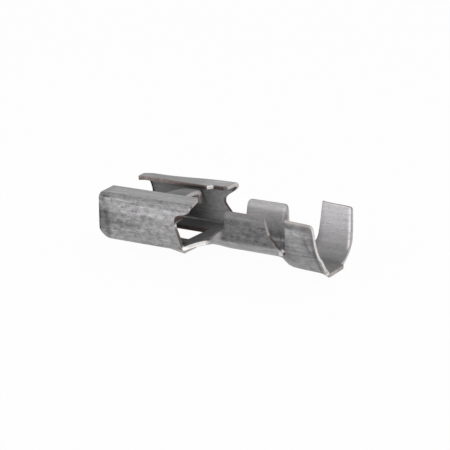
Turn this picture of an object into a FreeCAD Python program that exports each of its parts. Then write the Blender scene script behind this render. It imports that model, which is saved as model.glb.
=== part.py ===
import FreeCAD
import Part
import math
import os

# Female crimp terminal, blanked and folded from one strip of tin-plated copper alloy.
# +X runs from the mouth of the mating box to the wire end, +Y across, +Z up.
# The origin is on the mid-plane, where the mouth meets the underside of the box floor.
# Every size is in millimetres.

# Strip
sheet = 0.32                 # thickness of the strip
bend_inner = 0.15            # inside radius of the sharp folds

# Mating box
box_width = 7.20             # outside
box_length = 7.25            # mouth to the rear inner corners of the top curls
shoulder_height = 3.46       # underside of the floor to the top of the shoulders
curl_gap = 3.70              # between the two inner edges of the top curls
curl_rise = 6.0              # degrees that the curls rise towards the gap
mouth_cut_length = 0.86      # cut-off lower corner at the mouth, along X
mouth_cut_height = 0.55      # the same, along Z
mouth_cut_knee = 0.12        # the cut-off corner turns upright this far behind the mouth
mouth_cut_top = 1.25         # where the easing above the knee starts
shoulder_overhang = 0.27     # shoulders reach this far behind the curls' inner corners
curl_step = 0.36             # 45 degree step in the far curl's inner edge
curl_step_from_rear = 1.62   # where that step starts, ahead of the curls' rear
curl_corner_radius = 0.18

# Notch in each side wall, measured forward from the rear of the curls
lobe_setback = 0.25          # where the slanted edge is half way down
lobe_height = 2.78
neck_setback = 0.85
neck_top = 2.35
neck_bottom = 1.70
neck_corner = 0.12           # rounding at the top of the neck
heel_setback = 0.62
heel_height = 1.10
heel_foot_height = 0.41      # where the edge turns straight down

# Spring tongue, folded back from the front edge of the floor
tongue_width = 2.40
tongue_root_radius = 0.25    # inside radius of its front fold
tongue_ramp_angle = 40.0
tongue_soft_angle = 16.0     # of the short easing length between ramp and crown
tongue_soft_length = 0.70
tongue_top = 3.36            # height of its crown at the free end
tongue_end_setback = 1.61    # its free end, ahead of the rear of the curls
tongue_leg_depth = 1.15      # full depth of its turned-down sides
tongue_leg_flare = 12.0      # degrees that the sides open
tongue_corner_radius = 0.14  # inside radius along its two long corners
tongue_root_length = 0.35    # flat strip joined to the floor, and the start of the ramp

# Window and locking lance in the floor
window_start = 1.75
window_end_setback = 1.06
window_width = 2.86
lance_width = 1.72
lance_angle = 19.0
lance_toe_angle = 10.0       # the last stretch flattens by this much
lance_toe_length = 0.70
lance_drop = 1.00            # lowest point of the lance below the floor
lance_root_radius = 0.80
lance_toe_radius = 0.60

# Stop ear, bent inward from the near wall at the neck of the notch
ear_reach = 1.00
ear_height = 0.55
ear_tip_height = 0.12
ear_tip_fall = 0.10          # its upper edge falls by this much towards the tip

# Neck between box and conductor barrel
neck_narrow_start = 0.70     # where the floor leaves the box width, ahead of the rear of the curls
neck_box_half = 2.70
neck_mid_half = 2.25
neck_end_half = 1.86
neck_length = 0.40           # flat floor behind the rear of the curls

# Conductor barrel
conductor_start = 2.05       # front edge of its wings behind the rear of the curls
conductor_length = 3.12
conductor_floor = 2.00       # flat width of its floor
conductor_bend = 0.32        # inside radius
conductor_height = 2.91
conductor_lean = 5.0         # degrees that the wings lean outward
wing_tip = 0.14              # thickness of the coined wing tips
wing_tip_length = 0.62
wing_corner_radius = 0.28
serration_count = 3
serration_pitch = 0.78
serration_width = 0.22
serration_depth = 0.06
conductor_heel = 0.65        # share of the height where the wings' rear edge starts to run back
conductor_heel_run = 0.20
conductor_foot = 0.97        # height at which the rear edge reaches the step between the barrels
conductor_foot_run = 0.82
conductor_bow_run = 0.42     # middle of the curve between heel and foot
conductor_bow = 1.44

# Insulation barrel
insulation_start = 7.30      # front edge of its wings behind the rear of the curls
insulation_length = 2.15     # along its wings' top edge
insulation_drop = 0.80       # its floor below the box floor
insulation_floor = 1.72      # flat width of its floor
insulation_bend = 1.75       # inside radius
insulation_height = 4.00     # above its own floor's underside
insulation_lean = 8.0
insulation_slant = 0.28      # the rear edge runs back by this much towards the floor
insulation_toe = 0.22        # the front edge runs forward by this much towards the floor
insulation_front_drop = 0.62 # of its floor at the front edge of the wings
insulation_front_floor = 1.60
tail_length = 0.43           # carrier stub behind the wings
tail_width = 2.20

# Stations of the floor between box and conductor barrel: share of the stretch, inside radius,
# fold angle of the sides and their straight length
neck_stations = [(0.0, 2.20, 5.0, 0.25), (0.22, 0.75, 30.0, 0.12), (0.55, 0.45, 62.0, 0.28)]
neck_edge_height = 1.32      # where the last of them meets the wings' front edge
neck_overlap = 0.15          # the first station lies this far inside the flat neck

# Stations of the step between the two barrels: share of the stretch, floor width, inside radius,
# fold angle, height of the cut edge and drop of the floor
step_stations = [(0.24, 2.00, 0.40, 84.0, 0.80, 0.03), (0.56, 1.85, 0.80, 76.0, 0.62, 0.36)]
step_edge_height = 0.66      # of the cut edge at the insulation barrel
step_fold = 70.0

# Values worked out from the sizes above
outer_bend = bend_inner + sheet
half_width = box_width / 2
rear = box_length
far = 50.0                   # longer than the part, for cutters
conductor_front = rear + conductor_start
conductor_rear = conductor_front + conductor_length
insulation_front = rear + insulation_start
insulation_rear = insulation_front + insulation_length
tail_end = insulation_rear + tail_length
wall_foot = rear - neck_narrow_start
step_start = conductor_rear + conductor_foot_run


def unit(degrees):
    angle = math.radians(degrees)
    return FreeCAD.Vector(math.cos(angle), math.sin(angle), 0)


# A strip section: a walk along the strip's outer face, as runs and bends, drawn in a plane.
# side is 1 where the strip lies left of the walk and -1 where it lies right of it.
# A bend of a positive angle folds towards the strip's inner face, a negative one away from it.
def strip_section(start, heading, steps, side=1, low=0.0, high=sheet):
    point = FreeCAD.Vector(start[0], start[1], 0)
    low_edges = []
    high_edges = []
    for step in steps:
        normal = unit(heading + 90 * side)
        if step[0] == "run":
            end = point + unit(heading) * step[1]
            low_edges.append(Part.LineSegment(point + normal * low, end + normal * low))
            high_edges.append(Part.LineSegment(point + normal * high, end + normal * high))
            point = end
            continue
        inner, angle = step[1], step[2]
        fold = 1 if angle > 0 else -1
        centre = point + normal * ((inner + sheet) if fold > 0 else -inner)
        half = unit(heading + 90 * side + side * angle / 2)
        last = unit(heading + 90 * side + side * angle)
        for edges, offset in ((low_edges, low), (high_edges, high)):
            radius = (inner + sheet - offset) if fold > 0 else (inner + offset)
            spots = [centre - vector * (radius * fold) for vector in (normal, half, last)]
            edges.append(Part.Arc(spots[0], spots[1], spots[2]))
        heading = heading + side * angle
        point = centre - last * (((inner + sheet) if fold > 0 else inner) * fold)
    last_normal = unit(heading + 90 * side)
    first_normal = unit_normal_at_start(steps, heading, side)
    start_point = FreeCAD.Vector(start[0], start[1], 0)
    end_cap = Part.LineSegment(point + last_normal * low, point + last_normal * high)
    start_cap = Part.LineSegment(start_point + first_normal * high, start_point + first_normal * low)
    edges = [curve.toShape() for curve in low_edges]
    edges.append(end_cap.toShape())
    edges.extend(curve.toShape() for curve in reversed(high_edges))
    edges.append(start_cap.toShape())
    return Part.Wire(Part.__sortEdges__(edges))


def unit_normal_at_start(steps, final_heading, side):
    turned = sum(step[2] for step in steps if step[0] == "bend")
    return unit(final_heading - side * turned + 90 * side)


# The drawing plane's first axis becomes +Y or +X, its second axis +Z.
def stand_across(wire, x):
    placed = wire.copy()
    rows = (0, 0, 1, x, 1, 0, 0, 0, 0, 1, 0, 0, 0, 0, 0, 1)
    placed.transformShape(FreeCAD.Matrix(*rows))
    return placed


def stand_along(wire, y):
    placed = wire.copy()
    rows = (1, 0, 0, 0, 0, 0, -1, y, 0, 1, 0, 0, 0, 0, 0, 1)
    placed.transformShape(FreeCAD.Matrix(*rows))
    return placed


def extrude_across(wire, x_start, x_end):
    return Part.Face(stand_across(wire, x_start)).extrude(FreeCAD.Vector(x_end - x_start, 0, 0))


def extrude_along(wire, y_start, y_end):
    return Part.Face(stand_along(wire, y_start)).extrude(FreeCAD.Vector(0, y_end - y_start, 0))


def extrude_up(wire, z_start, z_end):
    lifted = wire.copy()
    lifted.translate(FreeCAD.Vector(0, 0, z_start))
    return Part.Face(lifted).extrude(FreeCAD.Vector(0, 0, z_end - z_start))


# A closed outline from points; a point given as a pair of points is an arc through the first.
def outline(points):
    flat = [FreeCAD.Vector(p[0], p[1], 0) if not isinstance(p[0], tuple) else p for p in points]
    edges = []
    here = flat[0]
    for spot in flat[1:] + [flat[0]]:
        if isinstance(spot, tuple):
            middle = FreeCAD.Vector(spot[0][0], spot[0][1], 0)
            end = FreeCAD.Vector(spot[1][0], spot[1][1], 0)
            edges.append(Part.Arc(here, middle, end).toShape())
            here = end
        else:
            edges.append(Part.LineSegment(here, spot).toShape())
            here = spot
    return Part.Wire(edges)


# Middle and end of a quarter round at a corner, from the side it starts on.
def quarter(corner, radius, from_side, to_side):
    cx = corner[0] - radius * (from_side[0] + to_side[0])
    cz = corner[1] - radius * (from_side[1] + to_side[1])
    bow = radius * math.sqrt(0.5)
    middle = (cx + bow * (from_side[0] + to_side[0]), cz + bow * (from_side[1] + to_side[1]))
    end = (cx + radius * to_side[0], cz + radius * to_side[1])
    return (middle, end)


def mating_box():
    fold = 90 - curl_rise
    rise = math.radians(curl_rise)
    wall_top = shoulder_height - outer_bend
    curl_run = (half_width - outer_bend + outer_bend * math.sin(rise) - curl_gap / 2) / math.cos(rise)
    edge_height = wall_top + outer_bend * math.cos(rise) + curl_run * math.sin(rise)
    steps = [
        ("run", curl_run), ("bend", bend_inner, fold), ("run", wall_top - outer_bend),
        ("bend", bend_inner, 90), ("run", box_width - 2 * outer_bend),
        ("bend", bend_inner, 90), ("run", wall_top - outer_bend),
        ("bend", bend_inner, fold), ("run", curl_run)]
    section = strip_section((-curl_gap / 2, edge_height), 180 + curl_rise, steps)
    return extrude_across(section, 0, rear + shoulder_overhang)


def mouth_cutter():
    knee = (mouth_cut_knee, mouth_cut_height)
    bow = (mouth_cut_knee * 0.25, (mouth_cut_height + mouth_cut_top) / 2)
    points = [
        (-1, -1), (-1, mouth_cut_top), (0, mouth_cut_top), (bow, knee), (mouth_cut_length, 0),
        (mouth_cut_length, -1)]
    return extrude_along(outline(points), -far, far)


# Everything behind the side walls' rear edge, up to the underside of the curls.
def notch_cutter():
    tip = (rear + shoulder_overhang, shoulder_height - outer_bend * 0.4)
    lobe = (rear - lobe_setback, lobe_height)
    neck = (rear - neck_setback, neck_top - neck_corner)
    turned = (rear - neck_setback + neck_corner, neck_top)
    corner = (rear - neck_setback + neck_corner * 0.3, neck_top - neck_corner * 0.4)
    heel = (rear - heel_setback, heel_height)
    neck_foot = (rear - neck_setback, neck_bottom)
    behind = rear + far
    points = [
        (behind, -1), (wall_foot, -1), (wall_foot, heel_foot_height), heel, neck_foot, neck,
        (corner, turned), lobe, tip, (behind, tip[1])]
    return extrude_along(outline(points), -far, far)


# Rear ends of the curls, slanting back from their inner corners to the shoulders.
def curl_end_cutter(side):
    inner = side * (curl_gap / 2 + (curl_step if side > 0 else 0))
    shoulder = side * (half_width - outer_bend)
    corner = (rear - curl_corner_radius, inner)
    turned = (rear, inner + side * curl_corner_radius)
    middle = (rear - curl_corner_radius * 0.3, inner + side * curl_corner_radius * 0.3)
    behind = rear + far
    points = [
        (behind, inner - side), (rear - curl_corner_radius, inner - side), corner, (middle, turned),
        (rear + shoulder_overhang, shoulder), (behind, shoulder)]
    return extrude_up(outline(points), shoulder_height - outer_bend, shoulder_height + 1)


# The far curl's inner edge steps back by 45 degrees near its rear.
def curl_step_cutter():
    edge = curl_gap / 2
    start = rear - curl_step_from_rear
    points = [
        (start, edge), (start + curl_step, edge + curl_step), (rear + 1, edge + curl_step),
        (rear + 1, edge - 1), (start, edge - 1)]
    return extrude_up(outline(points), shoulder_height - outer_bend, shoulder_height + 1)


def window_cutter():
    end = rear - window_end_setback
    half = window_width / 2
    points = [(window_start, -half), (end, -half), (end, half), (window_start, half)]
    return extrude_up(outline(points), -1, sheet + 0.01)


def lance():
    toe = math.radians(lance_angle - lance_toe_angle)
    slope = math.radians(lance_angle)
    root_fall = lance_root_radius * (1 - math.cos(slope))
    toe_bend_fall = (lance_toe_radius + sheet) * (math.cos(toe) - math.cos(slope))
    toe_fall = toe_bend_fall + lance_toe_length * math.sin(toe)
    run = (lance_drop - root_fall - toe_fall) / math.sin(slope)
    steps = [
        ("run", 0.2), ("bend", lance_root_radius, -lance_angle), ("run", run),
        ("bend", lance_toe_radius, lance_toe_angle), ("run", lance_toe_length)]
    section = strip_section((window_start - 0.2, 0), 0, steps)
    return extrude_along(section, lance_width / 2, -lance_width / 2)


# The tongue's line in the XZ plane, along its top face: foot of the ramp, ends of the easing
# length, and free end.
def tongue_line():
    fold = tongue_root_radius + sheet
    ramp = math.radians(tongue_ramp_angle)
    soft = math.radians(tongue_soft_angle)
    fold_centre = (mouth_cut_length + fold, fold)
    foot = (fold_centre[0] - fold * math.sin(ramp), fold_centre[1] + fold * math.cos(ramp))
    ramp_top = tongue_top - tongue_soft_length * math.sin(soft)
    ease = (foot[0] + (ramp_top - foot[1]) / math.tan(ramp), ramp_top)
    crown = (ease[0] + tongue_soft_length * math.cos(soft), tongue_top)
    end = (rear - tongue_end_setback, tongue_top)
    return [foot, ease, crown, end]


# An upside-down U: drawn with the top face's middle at the origin, depth downward.
def tongue_section(leg_depth):
    fold = 90 - tongue_leg_flare
    outer = tongue_corner_radius + sheet
    lean = math.radians(fold)
    flat = tongue_width / 2 - outer * math.sin(lean)
    leg = (leg_depth - outer * (1 - math.cos(lean))) / math.sin(lean)
    steps = [
        ("run", leg), ("bend", tongue_corner_radius, fold), ("run", 2 * flat),
        ("bend", tongue_corner_radius, fold), ("run", leg)]
    foot_y = flat + outer * math.sin(lean) + leg * math.cos(lean)
    return strip_section((-foot_y, -leg_depth), fold, steps, side=-1)


# The same section set on the tongue's line, sheared so that it lies in the mitre of two runs.
def tongue_station(point, tilt, half_turn, leg_depth):
    reach = 1 / math.cos(math.radians(half_turn))
    down = math.radians(tilt)
    depth_x = -math.sin(down) * reach
    depth_z = math.cos(down) * reach
    rows = (0, depth_x, 0, point[0], 1, 0, 0, 0, 0, depth_z, 0, point[1], 0, 0, 0, 1)
    return tongue_section(leg_depth).transformGeometry(FreeCAD.Matrix(*rows))


def tongue():
    foot, ease, crown, end = tongue_line()
    width = tongue_width / 2 - tongue_corner_radius
    fold_steps = [
        ("run", tongue_root_length), ("bend", tongue_root_radius, 180 - tongue_ramp_angle),
        ("run", tongue_root_length)]
    root_start = mouth_cut_length + tongue_root_radius + sheet + tongue_root_length
    root = strip_section((root_start, 0), 180, fold_steps, side=-1)
    shape = extrude_along(root, width, -width)
    middle = tuple(foot[i] + (ease[i] - foot[i]) * 0.5 for i in (0, 1))
    start = tuple(foot[i] + (ease[i] - foot[i]) * 0.08 for i in (0, 1))
    bend_one = (tongue_ramp_angle - tongue_soft_angle) / 2
    bend_two = tongue_soft_angle / 2
    least_leg = (tongue_corner_radius + sheet) * 1.15
    stations = [
        tongue_station(start, tongue_ramp_angle, 0, least_leg),
        tongue_station(middle, tongue_ramp_angle, 0, tongue_leg_depth),
        tongue_station(ease, tongue_ramp_angle - bend_one, bend_one, tongue_leg_depth),
        tongue_station(crown, bend_two, bend_two, tongue_leg_depth),
        tongue_station(end, 0, 0, tongue_leg_depth)]
    return shape.fuse(Part.makeLoft(stations, True, True))


# A small triangular ear across the near wall's neck, on which the tab's end stops.
def stop_ear():
    top = neck_top
    root = -half_width + sheet / 2
    points = [
        (root, top - ear_height), (root, top), (root + ear_reach, top - ear_tip_fall),
        (root + ear_reach, top - ear_tip_fall - ear_tip_height)]
    x_end = rear - neck_setback
    return extrude_across(outline(points), x_end - sheet, x_end)


# Flat floor behind the box, narrowing to the conductor barrel.
def neck_floor():
    front = wall_foot - sheet
    end = rear + neck_length
    middle_x = (wall_foot + end) / 2
    points = [
        (front, neck_box_half), (wall_foot, neck_box_half), ((middle_x, neck_mid_half), (end, neck_end_half)),
        (end, -neck_end_half), ((middle_x, -neck_mid_half), (wall_foot, -neck_box_half)), (front, -neck_box_half)]
    return extrude_up(outline(points), 0, sheet)


# A U section of the strip: flat floor, a bend each side and a straight wing.
def barrel_section(floor, inner, fold, wing, z):
    steps = [("run", wing), ("bend", inner, fold), ("run", floor), ("bend", inner, fold), ("run", wing)]
    outer = inner + sheet
    lean = math.radians(fold)
    top_y = floor / 2 + outer * math.sin(lean) + wing * math.cos(lean)
    top_z = z + outer * (1 - math.cos(lean)) + wing * math.sin(lean)
    return strip_section((-top_y, top_z), 360 - fold, steps)


def barrel_wing(height, inner, fold):
    outer = inner + sheet
    lean = math.radians(fold)
    return (height - outer * (1 - math.cos(lean))) / math.sin(lean)


def loft_along(sections):
    placed = [stand_across(wire, x) for x, wire in sections]
    return Part.makeLoft(placed, True, True)


# From the flat neck the floor's sides curl up into the conductor barrel.
def neck_to_barrel():
    fold = 90 - conductor_lean
    start = rear + neck_length - neck_overlap
    span = conductor_front - start
    low_wing = barrel_wing(neck_edge_height, conductor_bend, fold)
    sections = [
        (start + span * share, barrel_section(conductor_floor, inner, angle, wing, 0))
        for share, inner, angle, wing in neck_stations]
    sections.append((conductor_front, barrel_section(conductor_floor, conductor_bend, fold, low_wing, 0)))
    return loft_along(sections)


# Side view of the conductor wings, with rounded top corners and a flared rear foot.
def conductor_outline():
    top = conductor_height
    radius = wing_corner_radius
    front = (conductor_front, top)
    back = (conductor_rear, top)
    heel = (conductor_rear + conductor_heel_run, top * conductor_heel)
    foot = (step_start, conductor_foot)
    bow = (conductor_rear + conductor_bow_run, conductor_bow)
    low = (step_start, -1)
    points = [
        (conductor_front, -1), (conductor_front, top - radius), quarter(front, radius, (-1, 0), (0, 1)),
        (conductor_rear - radius, top), quarter(back, radius, (0, 1), (1, 0)), heel, (bow, foot), low]
    return extrude_along(outline(points), far, -far)


# Wedge-shaped cutters that coin the wing tips to an edge, from outside and from inside.
def tip_cutters():
    lean = math.radians(conductor_lean)
    fold = 90 - conductor_lean
    wing = barrel_wing(conductor_height, conductor_bend, fold)
    outer = conductor_bend + sheet
    base_y = conductor_floor / 2 + outer * math.cos(lean)
    tip_y = base_y + wing * math.sin(lean)
    tip_z = conductor_height
    along = (math.sin(lean), math.cos(lean))
    inward = (-math.cos(lean), math.sin(lean))
    taper = (sheet - wing_tip) / 2
    cutters = []
    for face, into in ((0.0, 1), (sheet, -1)):
        low = (tip_y + inward[0] * face - along[0] * wing_tip_length,
               tip_z + inward[1] * face - along[1] * wing_tip_length)
        high = (tip_y + inward[0] * (face + into * taper) + along[0] * 0.2,
                tip_z + inward[1] * (face + into * taper) + along[1] * 0.2)
        away = (high[0] - inward[0] * into * 0.5, high[1] - inward[1] * into * 0.5)
        for side in (1, -1):
            points = [(side * low[0], low[1]), (side * high[0], high[1]), (side * away[0], away[1])]
            cutters.append(extrude_across(outline(points), conductor_front - 1, conductor_rear + 1))
    return cutters


def serration_cutters():
    fold = 90 - conductor_lean
    wing = barrel_wing(conductor_height - wing_tip_length, conductor_bend, fold)
    outer = conductor_bend + sheet
    lean = math.radians(fold)
    top_y = conductor_floor / 2 + outer * math.sin(lean) + wing * math.cos(lean)
    top_z = outer * (1 - math.cos(lean)) + wing * math.sin(lean)
    steps = [
        ("run", wing), ("bend", conductor_bend, fold), ("run", conductor_floor),
        ("bend", conductor_bend, fold), ("run", wing)]
    band = strip_section((-top_y, top_z), 360 - fold, steps, low=sheet - serration_depth, high=sheet + 0.05)
    middle = (conductor_front + conductor_rear) / 2
    first = middle - serration_pitch * (serration_count - 1) / 2 - serration_width / 2
    starts = [first + serration_pitch * index for index in range(serration_count)]
    return [extrude_across(band, start, start + serration_width) for start in starts]


def conductor_barrel():
    fold = 90 - conductor_lean
    wing = barrel_wing(conductor_height, conductor_bend, fold)
    section = barrel_section(conductor_floor, conductor_bend, fold, wing, 0)
    barrel = extrude_across(section, conductor_front, step_start)
    barrel = barrel.common(conductor_outline())
    return barrel.cut(tip_cutters()).cut(serration_cutters())


# The strip steps down and widens between the two barrels.
def barrel_step():
    fold = 90 - conductor_lean
    span = insulation_front - step_start
    low_wing = barrel_wing(conductor_foot, conductor_bend, fold)
    sections = [(step_start, barrel_section(conductor_floor, conductor_bend, fold, low_wing, 0))]
    for share, floor, inner, angle, edge, drop in step_stations:
        wing = barrel_wing(edge + drop, inner, angle)
        sections.append((step_start + span * share, barrel_section(floor, inner, angle, wing, -drop)))
    wing = barrel_wing(step_edge_height + insulation_front_drop, insulation_bend, step_fold)
    last = barrel_section(insulation_front_floor, insulation_bend, step_fold, wing, -insulation_front_drop)
    sections.append((insulation_front, last))
    return loft_along(sections)


# The barrel widens and sinks a little towards the wire end.
def insulation_barrel():
    fold = 90 - insulation_lean
    top = insulation_height - insulation_drop
    front_wing = barrel_wing(top + insulation_front_drop, insulation_bend, fold)
    rear_wing = barrel_wing(insulation_height, insulation_bend, fold)
    front = barrel_section(insulation_front_floor, insulation_bend, fold, front_wing, -insulation_front_drop)
    back = barrel_section(insulation_floor, insulation_bend, fold, rear_wing, -insulation_drop)
    barrel = loft_along([(insulation_front - insulation_toe, front), (insulation_rear, back)])
    barrel = barrel.fuse(extrude_across(back, insulation_rear, tail_end))
    radius = wing_corner_radius
    corner = (insulation_rear, top)
    points = [
        (insulation_front - insulation_toe, -far), (insulation_front - insulation_toe, -insulation_front_drop),
        (insulation_front, top), (insulation_rear - radius, top),
        quarter(corner, radius, (0, 1), (1, 0)), (insulation_rear + insulation_slant, -insulation_drop),
        (insulation_rear + insulation_slant, -far)]
    wings = extrude_along(outline(points), far, -far)
    half = tail_width / 2
    stub = [(insulation_rear - 0.5, -half), (tail_end, -half), (tail_end, half), (insulation_rear - 0.5, half)]
    stub_reach = extrude_up(outline(stub), -far, -insulation_drop + 2 * sheet)
    return barrel.common(wings.fuse(stub_reach))


def terminal():
    box = mating_box()
    cutters = [mouth_cutter(), notch_cutter(), curl_step_cutter(), window_cutter()]
    cutters.extend(curl_end_cutter(side) for side in (1, -1))
    box = box.cut(cutters)
    pieces = [
        tongue(), lance(), stop_ear(), neck_floor(), neck_to_barrel(), conductor_barrel(),
        barrel_step(), insulation_barrel()]
    return box.fuse(pieces).removeSplitter()


os.makedirs("parts", exist_ok=True)
shape = terminal()
shape.exportStep("parts/terminal.step")
box = shape.BoundBox
centre = shape.Solids[0].CenterOfMass
print("solids", len(shape.Solids), "valid", shape.isValid(), "volume", round(shape.Volume, 3))
print("x", round(box.XMin, 3), round(box.XMax, 3), "y", round(box.YMin, 3), round(box.YMax, 3))
print("z", round(box.ZMin, 3), round(box.ZMax, 3), "centre of mass", [round(value, 2) for value in centre])
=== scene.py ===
import math

import bpy
import numpy as np
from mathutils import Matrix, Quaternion, Vector


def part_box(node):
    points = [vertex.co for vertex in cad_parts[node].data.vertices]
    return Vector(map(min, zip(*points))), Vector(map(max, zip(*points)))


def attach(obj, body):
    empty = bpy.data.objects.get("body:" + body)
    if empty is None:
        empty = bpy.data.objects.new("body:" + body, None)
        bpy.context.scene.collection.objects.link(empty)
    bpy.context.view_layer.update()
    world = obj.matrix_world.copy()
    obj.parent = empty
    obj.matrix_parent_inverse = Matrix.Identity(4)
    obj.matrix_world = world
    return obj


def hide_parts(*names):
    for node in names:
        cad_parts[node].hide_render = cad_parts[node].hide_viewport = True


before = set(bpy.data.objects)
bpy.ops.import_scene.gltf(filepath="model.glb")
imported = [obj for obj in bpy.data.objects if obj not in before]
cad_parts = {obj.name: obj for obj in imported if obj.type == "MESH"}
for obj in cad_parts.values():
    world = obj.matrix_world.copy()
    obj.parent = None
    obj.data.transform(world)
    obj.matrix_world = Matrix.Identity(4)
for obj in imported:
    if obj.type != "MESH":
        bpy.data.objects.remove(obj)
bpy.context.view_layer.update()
partLow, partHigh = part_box("terminal")
mm = 0.001

# The dressed terminal is drawn flat, as the blank it is stamped from, and then folded.
# Flat places are (along, across): along runs from the mouth to the wire end, across from the
# middle line to the rim. All sizes below are millimetres on the middle of the sheet.
strip = {
    "thickness": 0.32,
    "sharpRadius": 0.31,  # middle of the sheet in the sharp folds
    "rimRound": 0.02,  # rounding of the cut rims
    "rimSteps": 2,
    "cornerPoints": 6,  # on half of a wing's rounded corner
    "rimAngle": math.radians(32),  # edges that turn by more than this are rims
    "openRun": 9.0,  # the last run of a section, longer than any that is used
    "leastRun": 0.0001,  # of a bend that hasn't begun
    "weldWithin": 0.0001,  # points this near each other become one
    "slack": 1e-6,  # for comparing places across the blank
}
partWidth = (partHigh.y - partLow.y) / mm
partLength = (partHigh.x - partLow.x) / mm
lanceDepth = -partLow.z / mm
halfSheet = strip["thickness"] / 2
sideHalf = partWidth / 2 - halfSheet  # middle of a side wall
floorHalf = sideHalf - strip["sharpRadius"]  # where the floor starts to turn up
quarterTurn = strip["sharpRadius"] * math.pi / 2


def smooth(value, low, high):
    # 0 below low, 1 above high, and 3t^2 - 2t^3 between them
    t = np.clip((value - low) / (high - low), 0, 1)
    return t * t * (3 - 2 * t)


def throughKnots(place, knots, values):
    # a cubic through the knots that never overshoots: its slope at a knot is the harmonic mean of
    # the two runs' slopes, or flat where the values turn
    knots, values = np.asarray(knots, float), np.asarray(values, float)
    runs = np.diff(values) / np.diff(knots)
    before, after = np.append(runs[0], runs), np.append(runs, runs[-1])
    both = np.where(before * after > 0, before + after, 1.0)
    slopes = np.where(before * after > 0, 2 * before * after / both, 0.0)
    i = np.clip(np.searchsorted(knots, place) - 1, 0, len(knots) - 2)
    run = knots[i + 1] - knots[i]
    t = np.clip((place - knots[i]) / run, 0, 1)
    ends = values[i] * (1 - t) ** 2 * (1 + 2 * t) + values[i + 1] * t ** 2 * (3 - 2 * t)
    return ends + run * t * (1 - t) * (slopes[i] * (1 - t) - slopes[i + 1] * t)


def foldedLine(distance, heading, steps):
    # walks a bent line: each step is a length and the angle turned over it, and its share of the
    # walk is a chord of length * sin(half turn) / (half turn) in the direction of half its turn
    first, second, start = 0.0, 0.0, 0.0
    for length, turn in steps:
        gone = np.clip(distance - start, 0, length)
        turned = turn * gone / length
        chord = gone * np.sinc(turned / math.tau)
        first = first + chord * np.cos(heading + turned / 2)
        second = second + chord * np.sin(heading + turned / 2)
        heading = heading + turn
        start = start + length
    return first, second


def knotRows(knots, counts):
    # evenly divided stretches between the knots
    parts = [np.linspace(a, b, n, endpoint=False) for a, b, n in zip(knots, knots[1:], counts)]
    return np.concatenate(parts + [[knots[-1]]])


def fourSided(bottom, top, left, right):
    # blends four border curves into a grid: side to side plus bottom to top minus the corners
    u = np.linspace(0, 1, len(bottom))[:, None, None]
    v = np.linspace(0, 1, len(left))[None, :, None]
    sides = (1 - u) * left[None] + u * right[None]
    ends = (1 - v) * bottom[:, None] + v * top[:, None]
    corners = (1 - u) * ((1 - v) * bottom[0] + v * top[0]) + u * ((1 - v) * bottom[-1] + v * top[-1])
    return sides + ends - corners


def alongPoints(points, count):
    # the same number of steps on each run would bunch up, so the points are spread by length
    points = np.asarray(points, float)
    runs = np.concatenate([[0], np.cumsum(np.hypot(*np.diff(points, axis=0).T))])
    spread = np.linspace(0, runs[-1], count)
    return np.stack([np.interp(spread, runs, points[:, 0]), np.interp(spread, runs, points[:, 1])], axis=1)


def gridOf(points, thin=1.0):
    # a grid of places with its share of the full thickness, and all of its quads kept
    return {"points": points, "keep": None, "thin": thin * np.ones(points.shape[:2])}


def eighthRound(corner, radius, straight, turned):
    # half of a quarter round that leaves a straight edge and stops at the middle of the corner
    corner, straight, turned = (np.asarray(p, float) for p in (corner, straight, turned))
    angle = np.linspace(0, math.pi / 4, strip["cornerPoints"])[:, None]
    centre = corner - radius * straight - radius * turned
    return centre + radius * turned * np.cos(angle) + radius * straight * np.sin(angle)


# Box: floor, walls and top curls, one grid over the blank
box = {
    "wallRun": 2.52,  # straight part of a wall
    "curlRun": 1.34,
    "curlTurn": math.radians(84),
    "farTurnFront": math.radians(92),
    "farTurnRear": math.radians(97),
    "farGrowthFront": 0.19,  # the far wall is this much taller than the near one
    "farGrowthRear": 0.21,
    "farRoundFront": 0.55,  # the far shoulder's radius is this much larger at the mouth
    "farRoundFades": (1.5, 6.5),
    "roundTakes": 0.43,  # share of that radius that the curl's inner edge gives way
    "farCurlMore": 0.17,
    "rear": 7.25,  # curls' inner corners
    "turnFrom": 1.0,  # the far turn changes from here to the rear
    "overhang": 0.27,  # shoulders reach behind the curls
    "curlCorner": {"near": 0.07, "far": 0.18},
    "step": 0.30,  # of the far curl's inner edge
    "stepAt": 5.80,
    "frontStrip": 0.50,  # the mouth's rim is pressed inward over this length at the top
    "frontStripSpread": 0.14,  # and over this much more for each millimetre down
    "frontStripTop": 3.2,
    "frontStripDeep": 2.2,
    "frontPress": 0.10,
    "frontPressMost": 1.3,  # in front of the edge the press goes on up to this share of it
    "wallPressed": (0.1, 0.6),  # heights over which the press begins on the walls
    "curlPressed": (3.0, 3.3),  # and on the curls, which are pressed down
    "curlPress": 0.4,
    "foldCut": 0.63,  # the notch's foot takes in this share of the lower fold
    "curlBlend": 0.1,  # the rear edge passes from wall to curl from here above the wall
    "evenRows": {"middle": 0.90, "rear": 0.60},  # how far the walls' rows start further forward
    "evenFade": (0.1, 0.4),  # outside and inside the wall's ends
}
wallStart = floorHalf + quarterTurn
wallEnd = wallStart + box["wallRun"]
curlStart = wallEnd + strip["sharpRadius"] * box["curlTurn"]
curlEdge = curlStart + box["curlRun"]
wallFootHeight = halfSheet + strip["sharpRadius"]  # height of the walls' foot

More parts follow.
